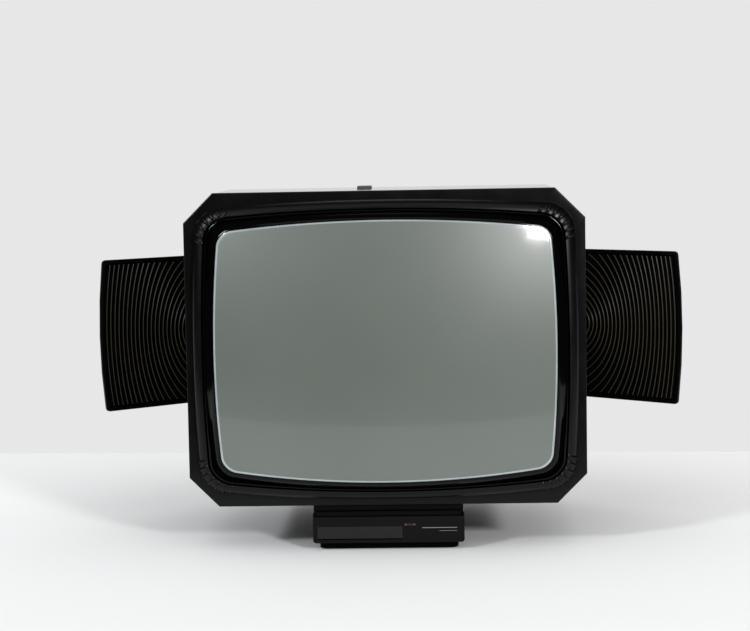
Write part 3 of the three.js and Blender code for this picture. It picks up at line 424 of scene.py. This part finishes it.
def metal(name, dark, light, roughness=(0.25, 0.4), stretch=(1, 1, 30)):
    """Plated or brushed metal with fine lines along one direction."""
    recipe = Recipe(name)
    recipe.set("Base Color", recipe.ramp(recipe.noise(60, 4), dark, light))
    recipe.set("Metallic", 1.0)
    recipe.set("Roughness", recipe.ramp(recipe.noise(300, 3, stretch), *roughness))
    recipe.bump(recipe.noise(900, 2, stretch), 0.2, 0.01 * MM)
    return recipe.material


def grey(value, blue=0.0):
    return (value, value, value + blue)


def make_materials():
    dark_red = ((0.02, 0.002, 0.002), (0.03, 0.004, 0.004))
    green = ((0.012, 0.06, 0.02), (0.02, 0.09, 0.03))
    olive = ((0.022, 0.019, 0.009), (0.033, 0.029, 0.015))
    return {
        "satin": plastic(
            "satin_black", grey(0.0014), grey(0.0022, 0.0002), (0.28, 0.36), shine=0.19,
        ),
        "cabinet": plastic(
            "cabinet_black", grey(0.002), grey(0.003), (0.05, 0.08), 1400, 0.004,
        ),
        "mask": plastic(
            "mask_gloss", grey(0.0008), grey(0.0012), (0.06, 0.1), 500, 0.002, shine=0.15,
        ),
        "flap": plastic(
            "smoked_flap", grey(0.004), grey(0.0055), (0.2, 0.27), 1500, 0.01, 0.03,
        ),
        "fascia": plastic(
            "fascia_black", grey(0.0014), grey(0.0022), (0.2, 0.28), shine=0.13,
        ),
        "housing": plastic(
            "housing_black", grey(0.001), grey(0.0016), (0.16, 0.24), shine=0.06,
        ),
        "foot": plastic("foot_black", grey(0.0006), grey(0.001), (0.45, 0.55), shine=0.03),
        "grey": plastic("grey_plastic", grey(0.05), grey(0.065), (0.4, 0.5)),
        "moulded": plastic("moulded_dark", grey(0.008), grey(0.012), (0.45, 0.6)),
        "rubber": plastic("rubber", grey(0.008), grey(0.013), (0.7, 0.85), 700, 0.05),
        "turntable": plastic("turntable_black", grey(0.004), grey(0.007), (0.5, 0.65)),
        "board": plastic("circuit_board", *green, (0.3, 0.45), 160, 0.08),
        "lens": plastic("indicator_smoke", *dark_red, (0.08, 0.12)),
        "paper": plastic("cone_paper", grey(0.012), grey(0.022), (0.8, 0.95), 420, 0.12),
        "ferrite": plastic("ferrite_grey", grey(0.02), grey(0.032), (0.55, 0.75), 500, 0.06),
        "cone_glass": plastic("tube_cone", grey(0.02), grey(0.03), (0.12, 0.3), 120, 0.05),
        "cloth": plastic(
            "grille_backing", grey(0.0006), grey(0.0012), (0.8, 0.95), 2600, 0.2, shine=0.05,
        ),
        "ribs": plastic("grille_olive", *olive, (0.35, 0.5)),
        "print": plastic("print_white", grey(0.12), grey(0.17), (0.45, 0.6)),
        "steel": metal("plated_steel", grey(0.42), grey(0.55, 0.01)),
        "aluminium": metal("aluminium", grey(0.62), grey(0.72)),
        "brass": metal("brass", (0.52, 0.38, 0.14), (0.68, 0.5, 0.22)),
        "copper": metal(
            "copper_wire", (0.32, 0.1, 0.03), (0.5, 0.18, 0.06), (0.3, 0.5), (1, 1, 1),
        ),
        "glass": tube_glass(),
        "glass_edge_highlight": glass_edge_highlight(),
    }


def tube_glass():
    """Tinted face glass over a pale screen layer: a soft grey-green under a hard gloss."""
    recipe = Recipe("tube_face")
    tone = recipe.ramp(recipe.noise(5, 3), (0.102, 0.117, 0.102), (0.113, 0.13, 0.113))
    recipe.set("Base Color", tone)
    recipe.set("Roughness", 0.42)
    recipe.set("Specular IOR Level", 0.8)
    recipe.set("Coat Weight", 1.0)
    recipe.set("Coat IOR", 1.38)
    recipe.set("Coat Roughness", recipe.ramp(recipe.noise(24, 4), 0.07, 0.1))
    recipe.bump(recipe.noise(2600, 1), 0.06, 0.01 * MM)
    return recipe.material


def glass_edge_highlight():
    """The bare, slightly bluish edge of the glass, outside the screen layer, made paler than bare
    glass as a painted highlight along the edge.
    """
    recipe = Recipe("tube_face_edge_highlight")
    # partly painted highlight: the edge's real bluish tone, made paler to stand in for the light
    # that catches it
    tone = recipe.ramp(recipe.noise(40, 3), (0.3, 0.34, 0.35), (0.37, 0.41, 0.42))
    recipe.set("Base Color", tone)
    recipe.set("Roughness", 0.12)
    recipe.set("Coat Weight", 1.0)
    return recipe.material


# ---------- modifiers for the CAD nodes ----------
def smooth_by_angle_group():
    """Geometry nodes that shade a mesh smooth and keep its steep edges sharp."""
    group = bpy.data.node_groups.new("smooth_by_angle", "GeometryNodeTree")
    group.interface.new_socket("Geometry", in_out="INPUT", socket_type="NodeSocketGeometry")
    group.interface.new_socket("Geometry", in_out="OUTPUT", socket_type="NodeSocketGeometry")
    nodes, link = group.nodes, group.links.new
    start = nodes.new("NodeGroupInput")
    end = nodes.new("NodeGroupOutput")
    smooth = nodes.new("GeometryNodeSetShadeSmooth")
    sharp = nodes.new("GeometryNodeSetShadeSmooth")
    sharp.domain = "EDGE"
    sharp.inputs["Shade Smooth"].default_value = False
    angle = nodes.new("GeometryNodeInputMeshEdgeAngle")
    steep = nodes.new("FunctionNodeCompare")
    steep.inputs[1].default_value = math.radians(40)
    link(start.outputs[0], smooth.inputs[0])
    link(smooth.outputs[0], sharp.inputs[0])
    link(angle.outputs["Unsigned Angle"], steep.inputs[0])
    link(steep.outputs[0], sharp.inputs["Selection"])
    link(sharp.outputs[0], end.inputs[0])
    return group


SMOOTH_GROUP = smooth_by_angle_group()
WELD_DISTANCE = 0.002 * MM


def dress(node, material, bevel=0.5, segments=3):
    """Give a CAD node its material, rounded edges (bevel in millimetres) and clean shading."""
    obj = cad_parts[node]
    obj.data.materials.clear()
    obj.data.materials.append(material)
    weld = obj.modifiers.new("weld", "WELD")
    weld.merge_threshold = WELD_DISTANCE
    if bevel:
        edge = obj.modifiers.new("edges", "BEVEL")
        edge.width = bevel * MM
        edge.segments = segments
        edge.limit_method = "ANGLE"
        edge.angle_limit = math.radians(30)
        edge.use_clamp_overlap = True
    shade = obj.modifiers.new("shading", "NODES")
    shade.node_group = SMOOTH_GROUP
    weighted = obj.modifiers.new("normals", "WEIGHTED_NORMAL")
    weighted.keep_sharp = True


# ---------- the bezel ----------
def corner_distance(place, offset):
    """Distance along the outline from the middle of the nearest corner."""
    part, t = place[2], place[3]
    corner = mix(OPENING_CORNER, GROOVE_CORNER, offset / GROOVE_OFFSET)
    if part == "corner":
        return (t - 0.5) * corner * math.pi / 2
    half = OPENING_HALF[1] if part == "side" else OPENING_HALF[0]
    straight = (half + offset - corner) * (1 - t if part == "side" else t)
    reach = straight + corner * math.pi / 4
    return -reach if part == "side" else reach


def corner_rib(place):
    """Height share of the short ribs that run over the shoulder at each corner."""
    along = corner_distance(place, (GROOVE_OFFSET + SHOULDER_OFFSET) / 2)
    phase = along / RIB_PITCH + RIBS_PER_CORNER / 2
    if phase < 0 or phase > RIBS_PER_CORNER:
        return 0.0
    within = phase % 1
    return smoothstep(*RIB_RISE, within) * (1 - smoothstep(*RIB_FALL, within))


def shoulder_ring(places, angle):
    """One ring of the rounded shoulder. angle runs from its wall, 0, to its crest."""
    radius = SHOULDER_OFFSET - GROOVE_OFFSET
    along = math.degrees(angle)
    window = smoothstep(*RIB_START, along) * (1 - smoothstep(*RIB_END, along))
    ring = []
    for place in places:
        height = RIB_HEIGHT * window * corner_rib(place)
        offset = GROOVE_OFFSET + (radius + height) * math.cos(angle)
        x, z = outline_point(place, offset)
        y = crest_front(x, z) + radius - (radius + height) * math.sin(angle)
        ring.append((x, min(y, FLANGE_FRONT - SHOULDER_FLOOR), z + SCREEN_Z))
    return ring


def make_bezel(materials):
    """The octagonal flange and the rounded shoulder, in one skin from its back round."""
    rings = [outline_ring(FINE, GROOVE_OFFSET, FLANGE_BACK)]
    rings.append(octagon_ring(FINE, FLANGE_EDGE, FLANGE_BACK))
    rings.append(octagon_ring(FINE, 0, FLANGE_BACK - FLANGE_EDGE))
    edge_steps = 4
    for i in range(edge_steps + 1):
        angle = i / edge_steps * math.pi / 2
        inset = FLANGE_EDGE * (1 - math.cos(angle))
        depth = FLANGE_FRONT + FLANGE_EDGE * (1 - math.sin(angle))
        rings.append(octagon_ring(FINE, inset, depth))
    fillet_width, fillet_rise = 1.0 * MM, 0.1 * MM
    for share in (1.0, 0.35, 0.0):
        offset = SHOULDER_OFFSET + fillet_width * share
        rings.append(outline_ring(FINE, offset, FLANGE_FRONT - fillet_rise * (1 - share) ** 2))
    shoulder_steps = 14
    for i in range(shoulder_steps + 1):
        rings.append(shoulder_ring(FINE, i / shoulder_steps * math.pi / 2))
    lip = 0.5 * MM
    rings.append(outline_ring(FINE, GROOVE_OFFSET, lambda x, z: crest_front(x, z) + lip))
    points, faces = skin(rings, closed=True)
    bezel = make_object("bezel", mesh_from("bezel", points, faces, 50))
    finish_piece(bezel, materials["satin"], "monitor", "satin_black_plastic", "front_bezel")


def panel_drop(offset):
    """How far the glass has rolled back from its dome at an offset."""
    if offset <= 0:
        return 0.0
    return PANEL_ROLL[-1][1] * (offset / PANEL_OFFSET) ** PANEL_ROLL_POWER


def slope_foot(x, z):
    """Depth of the surround where its slope starts, deeper towards the corners."""
    corner = abs(x * z / (OPENING_HALF[0] * OPENING_HALF[1]))
    return crest_front(x, z) + SLOPE_SINK + SLOPE_VALLEY * smoothstep(*VALLEY_RANGE, corner)


def make_mask(materials):
    """The gloss surround: a beaded outer edge, then a slope that climbs to the glass."""
    rings = [outline_ring(FINE, MASK_OUTER, MASK_BACK)]
    bead_steps = 6
    for i in range(bead_steps + 1):
        angle = i / bead_steps * MASK_BEAD_TURN
        offset = MASK_OUTER - MASK_BEAD * (1 - math.cos(angle))
        lift = MASK_BEAD * (1 - math.sin(angle))
        rings.append(outline_ring(FINE, offset, lambda x, z, d=lift: crest_front(x, z) + d))
    slope_steps = 8
    for i in range(slope_steps + 1):
        share = i / slope_steps
        offset = mix(SLOPE_START, MASK_LIP + MASK_LIP_WIDTH, share)

        def slope(x, z, share=share, offset=offset):
            straight = mix(slope_foot(x, z), glass_front(x, z) - SLOPE_RISE, share)
            return min(straight, glass_front(x, z) + panel_drop(offset) - MASK_CLEARANCE)

        rings.append(outline_ring(FINE, offset, slope))
    for inset, depth in LIP_PROFILE:
        rings.append(outline_ring(
            FINE, MASK_LIP + inset, lambda x, z, d=depth: glass_front(x, z) - d,
        ))
    for offset, drop in PANEL_ROLL[:2]:
        rings.append(outline_ring(
            FINE, offset, lambda x, z, d=drop: glass_front(x, z) + d - ROLL_OVERLAP,
        ))
    rings.append(outline_ring(
        FINE, MASK_SKIRT, lambda x, z: glass_front(x, z) + PANEL_ROLL[-1][1],
    ))
    rings.append(outline_ring(FINE, MASK_SKIRT, MASK_BACK))
    points, faces = skin(rings, closed=True)
    mask = make_object("screen_surround", mesh_from("screen_surround", points, faces, 50))
    finish_piece(mask, materials["mask"], "monitor", "gloss_black_mask", "screen_mask")


def make_glass(materials):
    """The face panel, a shallow dish of glass with a domed front, and its rim, whose pale tone is
    partly a painted highlight.
    """
    seal = glass_high.y
    rings = [outline_ring(COARSE, 0, glass_front, scale) for scale in DOME_SCALES]
    roll_steps = 7
    for i in range(roll_steps + 1):
        offset = i / roll_steps * PANEL_OFFSET
        drop = panel_drop(offset)
        rings.append(outline_ring(COARSE, offset, lambda x, z, d=drop: glass_front(x, z) + d))
    rings.append(outline_ring(COARSE, PANEL_OFFSET, PANEL_SIDE))
    rings.append(outline_ring(COARSE, SEAL_OUTER, seal))
    rings.append(outline_ring(COARSE, SEAL_INNER, seal))
    for scale in HOLLOW_SCALES:
        rings.append(outline_ring(
            COARSE, HOLLOW_OFFSET, lambda x, z: glass_front(x, z) + GLASS_THICKNESS, scale,
        ))
    points, faces = skin(rings)
    glass = make_object("tube_face", mesh_from("tube_face", points, faces, 40))
    finish_piece(glass, materials["glass"], "monitor", "tube_face_glass", "face_panel")

    rim_rings = [
        outline_ring(COARSE, offset, lambda x, z, d=height: glass_front(x, z) - d)
        for offset, height in RIM_PROFILE
    ]
    points, faces = skin(rim_rings, closed=True)
    rim = make_object("tube_face_rim", mesh_from("tube_face_rim", points, faces, 50))
    finish_piece(rim, materials["glass_edge_highlight"], "monitor", "tube_face_glass")


# ---------- the loudspeaker wings ----------
def wing_place(side):
    """The transform from a wing's own frame to the row's: x outward from the hinge."""
    low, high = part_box("hinge_pin_right" if side > 0 else "hinge_pin_left")
    pivot = (low + high) / 2
    turn = Matrix.Rotation(-side * WING_OPEN, 4, "Z")
    mirror = Matrix.Diagonal((side, 1, 1, 1))
    return Matrix.Translation(pivot) @ turn @ mirror


def edge_reach(reach, z):
    return reach - WING_BOW * (z / WING_HALF_HEIGHT) ** 2


def grille_outline(inset):
    """(s, z) round the grille, with its bowed outer edge and rounded outer corners."""
    half = GRILLE_HALF_HEIGHT - inset
    start = GRILLE_START + inset
    points = [(start, -half)]
    steps = 24
    for i in range(steps + 1):
        z = half * (2 * i / steps - 1)
        reach = edge_reach(GRILLE_END - inset, z)
        room = half - abs(z)
        if room < GRILLE_CORNER:
            inner = max(GRILLE_CORNER ** 2 - (GRILLE_CORNER - room) ** 2, 0)
            reach -= GRILLE_CORNER - math.sqrt(inner)
        points.append((reach, z))
    points.append((start, half))
    return points


def grille_rib(a, place):
    """Rings of one half-round rib along an ellipse with its half length a."""
    b = ELLIPSE_SHARE * a + ELLIPSE_SWELL * a * a - ELLIPSE_DROP
    z_limit = GRILLE_HALF_HEIGHT - GRILLE_RIB_MARGIN
    start = GRILLE_START + GRILLE_RIB_MARGIN - ELLIPSE_CENTRE
    reach = min(math.acos(start / a), math.asin(min(z_limit / b, 1.0)))
    steps = GRILLE_RIB_LEAST_STEPS + int(reach * b / GRILLE_RIB_STEP)
    front = -WING_HALF_THICKNESS + GRILLE_RIB_BASE
    half = GRILLE_RIB_WIDTH / 2
    section = [(half * across, rise) for across, rise in GRILLE_RIB_SECTION]
    rings = []
    for i in range(steps + 1):
        angle = reach * (2 * i / steps - 1)
        s = ELLIPSE_CENTRE + a * math.cos(angle)
        z = b * math.sin(angle)
        normal = Vector((b * math.cos(angle), a * math.sin(angle))).normalized()
        ring = [
            place @ Vector((
                s + normal.x * across, front + GRILLE_RIB_HEIGHT * rise, z + normal.y * across,
            ))
            for across, rise in section
        ]
        rings.append(ring)
    return rings


def make_wing(side, word, materials):
    """One wing's grille plate and ribs, and the looks of its CAD nodes."""
    place = wing_place(side)
    body = f"{word}_wing"
    front = -WING_HALF_THICKNESS
    rings = []
    for inset, depth in GRILLE_PLATE:
        rings.append([
            place @ Vector((s, front + depth, z)) for s, z in grille_outline(inset)
        ])
    points, faces = skin(rings)
    plate = make_object(f"grille_plate_{word}", mesh_from("grille_plate", points, faces))
    finish_piece(plate, materials["cloth"], body, "ribbed_grille", f"speaker_grille_{word}")

    points, faces = [], []
    for k in range(ELLIPSE_COUNT):
        a = ELLIPSE_LAST - k * ELLIPSE_STEP
        rib_points, rib_faces = skin(grille_rib(a, place))
        first = len(points)
        points += rib_points
        faces += [tuple(first + index for index in face) for face in rib_faces]
    ribs = make_object(f"grille_ribs_{word}", mesh_from("grille_ribs", points, faces, 70))
    finish_piece(ribs, materials["ribs"], body, "ribbed_grille")
    dress(f"wing_shell_{word}", materials["satin"], 0.9)
    dress(f"speaker_frame_{word}", materials["steel"], 0)
    dress(f"speaker_cone_{word}", materials["paper"], 0)
    dress(f"speaker_magnet_{word}", materials["ferrite"], 0.6)
    dress(f"wing_bracket_{word}", materials["cabinet"], 0.8)
    dress(f"hinge_pin_{word}", materials["steel"], 0.3)


# ---------- the pedestal's marks ----------
def block(points, faces, low, high):
    """Add a box from low to high to a list of points and faces."""
    first = len(points)
    corners = [
        (x, y, z) for x in (low[0], high[0]) for y in (low[1], high[1]) for z in (low[2], high[2])
    ]
    points += corners
    faces += [tuple(first + index for index in face) for face in BOX_FACES]


def make_marks(materials):
    """Two plain printed rules on the fascia, and the two dots of the indicator."""
    points, faces = [], []
    for left, right, z, height in MARK_RULES:
        block(
            points, faces,
            (left, fascia_front - PRINT_PROUD, z - height / 2),
            (right, fascia_front + PRINT_SUNK, z + height / 2),
        )
    marks = make_object("printed_rules", mesh_from("printed_rules", points, faces))
    finish_piece(marks, materials["print"], "pedestal", "grey_plastic")

    points, faces = [], []
    middle = (lens_low + lens_high) / 2
    for x in DOT_PLACES:
        block(
            points, faces,
            (middle.x + x - DOT_HALF, lens_low.y - DOT_PROUD, middle.z - DOT_HALF),
            (middle.x + x + DOT_HALF, lens_low.y + PRINT_SUNK, middle.z + DOT_HALF),
        )
    dots = make_object("indicator_dots", mesh_from("indicator_dots", points, faces))
    finish_piece(dots, materials["grey"], "pedestal", "grey_plastic")


# ---------- the carried-over CAD nodes ----------
def dress_nodes(materials):
    """The finish of each remaining CAD node and its bevel in millimetres."""
    finishes = {
        "base_plate": ("foot", 1.0), "foot_strip_left": ("rubber", 0.4),
        "foot_strip_right": ("rubber", 0.4), "pedestal_housing": ("housing", 0.7),
        "front_fascia": ("fascia", 0.5), "control_flap": ("flap", 0.5),
        "flap_pin": ("steel", 0), "swivel_spindle": ("steel", 0.5),
        "spindle_nut": ("steel", 0.5), "indicator_lens": ("lens", 0.3),
        "control_board": ("board", 0.2), "turntable": ("turntable", 0.8),
        "cabinet_shell": ("cabinet", 0.6), "rear_rim": ("cabinet", 0.5),
        "rear_cover": ("cabinet", 1.2), "rim_screw_1": ("steel", 0.4),
        "rim_screw_2": ("steel", 0.4), "connector_panel": ("grey", 0.3),
        "aerial_socket": ("brass", 0.2), "av_socket": ("moulded", 0.3),
        "mains_inlet": ("moulded", 0.3), "tuner_box": ("steel", 0.4),
        "power_button": ("grey", 0.8), "shadow_mask": ("moulded", 0),
        "tension_band": ("steel", 0.2), "crt_funnel": ("cone_glass", 0),
        "degauss_coil": ("rubber", 0), "yoke_coils": ("copper", 0),
        "yoke_core": ("ferrite", 0.6), "purity_rings": ("moulded", 0.3),
        "electron_gun": ("steel", 0), "tube_base": ("moulded", 0.4),
        "neck_board": ("board", 0.2), "chassis_board": ("board", 0.2),
        "flyback_transformer": ("moulded", 0.6), "mains_transformer": ("ferrite", 0.6),
        "heat_sink": ("aluminium", 0.2), "anode_cap": ("rubber", 0.4),
        "anode_lead": ("rubber", 0),
    }
    finishes.update({f"control_button_{i}": ("grey", 0.5) for i in range(1, 5)})
    for node, (finish, bevel) in finishes.items():
        dress(node, materials[finish], bevel)


# ---------- stage, lights and camera ----------
def table_material():
    """A plain pale top with slight unevenness, painted a little paler towards its far edge as
    painted light where the lamps give less.
    """
    recipe = Recipe("table_paint")
    place = recipe.node("ShaderNodeSeparateXYZ")
    recipe.link(recipe.coords, place.inputs["Vector"])
    # painted light: the top's colour grows paler away from the lamps, to stand in for light that
    # falls off there
    lift = recipe.ramp(place.outputs["Y"], *TABLE_PAINTED_LIGHT_TONE, *TABLE_PAINTED_LIGHT_RANGE)
    paint = recipe.ramp(recipe.noise(3, 2), grey(0.99), grey(1.0))
    shade = recipe.node("ShaderNodeVectorMath", operation="SCALE")
    recipe.link(paint, shade.inputs[0])
    recipe.link(lift, shade.inputs["Scale"])
    recipe.set("Base Color", shade.outputs["Vector"])
    recipe.set("Roughness", 0.9)
    recipe.set("Specular IOR Level", 0.1)
    return recipe.material


def make_stage():
    """A pale table top with a crisp far edge."""
    front = FLANGE_FRONT - TABLE_DEPTH[0]
    far = FLANGE_FRONT + TABLE_DEPTH[1]
    half = TABLE_HALF_WIDTH
    slant = half * TABLE_SLANT
    mesh = bpy.data.meshes.new("table_top")
    mesh.from_pydata([
        (-half, front, floor_z), (half, front, floor_z),
        (half, far - slant, floor_z), (-half, far + slant, floor_z),
    ], [], [(0, 1, 2, 3)])
    table = make_object("table_top", mesh)
    table.data.materials.append(table_material())


def area_light(name, place, target, size, power, tint):
    data = bpy.data.lights.new(name, "AREA")
    data.shape = "RECTANGLE"
    data.size, data.size_y = size
    data.energy = power
    data.color = tint
    light = bpy.data.objects.new(name, data)
    bpy.context.scene.collection.objects.link(light)
    light.location = place
    aim = Vector(target) - Vector(place)
    light.rotation_euler = aim.to_track_quat("-Z", "Y").to_euler()
    light.visible_camera = False


def make_world():
    """Surroundings that differ by the kind of ray: even and pale as a backdrop, a soft dome
    from above as light, and a dark room, pale only behind the set, in gloss."""
    world = bpy.data.worlds.new("studio_world")
    world.use_nodes = True
    nodes, link = world.node_tree.nodes, world.node_tree.links.new

    def spread(source, start, stop, low, high):
        """Spread source between low and high, which may be numbers or sockets."""
        node = nodes.new("ShaderNodeMapRange")
        link(source, node.inputs["Value"])
        names = ("From Min", "From Max", "To Min", "To Max")
        for name, value in zip(names, (start, stop, low, high)):
            if hasattr(value, "is_linked"):
                link(value, node.inputs[name])
            else:
                node.inputs[name].default_value = value
        return node.outputs["Result"]

    coords = nodes.new("ShaderNodeTexCoord")
    direction = nodes.new("ShaderNodeSeparateXYZ")
    link(coords.outputs["Generated"], direction.inputs["Vector"])
    path = nodes.new("ShaderNodeLightPath")
    dome = spread(direction.outputs["Z"], *DOME_RANGE, *DOME)
    room = spread(direction.outputs["Y"], *ROOM_RANGE, DARK_ROOM, PALE)
    lit = spread(path.outputs["Is Glossy Ray"], 0, 1, dome, room)
    seen = spread(path.outputs["Is Camera Ray"], 0, 1, lit, PALE)
    background = nodes["Background"]
    background.inputs["Color"].default_value = (1, 1, 1, 1)
    link(seen, background.inputs["Strength"])
    bpy.context.scene.world = world


def make_camera():
    yaw, pitch, roll = (math.radians(angle) for angle in CAMERA_TURN)
    forward = Vector((
        math.sin(yaw) * math.cos(pitch), math.cos(yaw) * math.cos(pitch), -math.sin(pitch),
    ))
    level_right = forward.cross(Vector((0, 0, 1))).normalized()
    level_up = level_right.cross(forward)
    right = level_right * math.cos(roll) - level_up * math.sin(roll)
    up = level_right * math.sin(roll) + level_up * math.cos(roll)
    data = bpy.data.cameras.new("camera")
    data.lens = CAMERA_LENS
    data.sensor_width = 36
    data.clip_end = 50
    camera = bpy.data.objects.new("camera", data)
    bpy.context.scene.collection.objects.link(camera)
    turn = Matrix((right, up, -forward)).transposed().to_4x4()
    camera.matrix_world = Matrix.Translation(CAMERA_POINT) @ turn
    bpy.context.scene.camera = camera


def main():
    bpy.context.scene.view_settings.view_transform = "Standard"
    make_camera()
    materials = make_materials()
    make_bezel(materials)
    make_mask(materials)
    make_glass(materials)
    for side, word in ((-1, "left"), (1, "right")):
        make_wing(side, word, materials)
    make_marks(materials)
    dress_nodes(materials)
    make_stage()
    make_world()
    for light in LIGHTS:
        area_light(*light)


main()
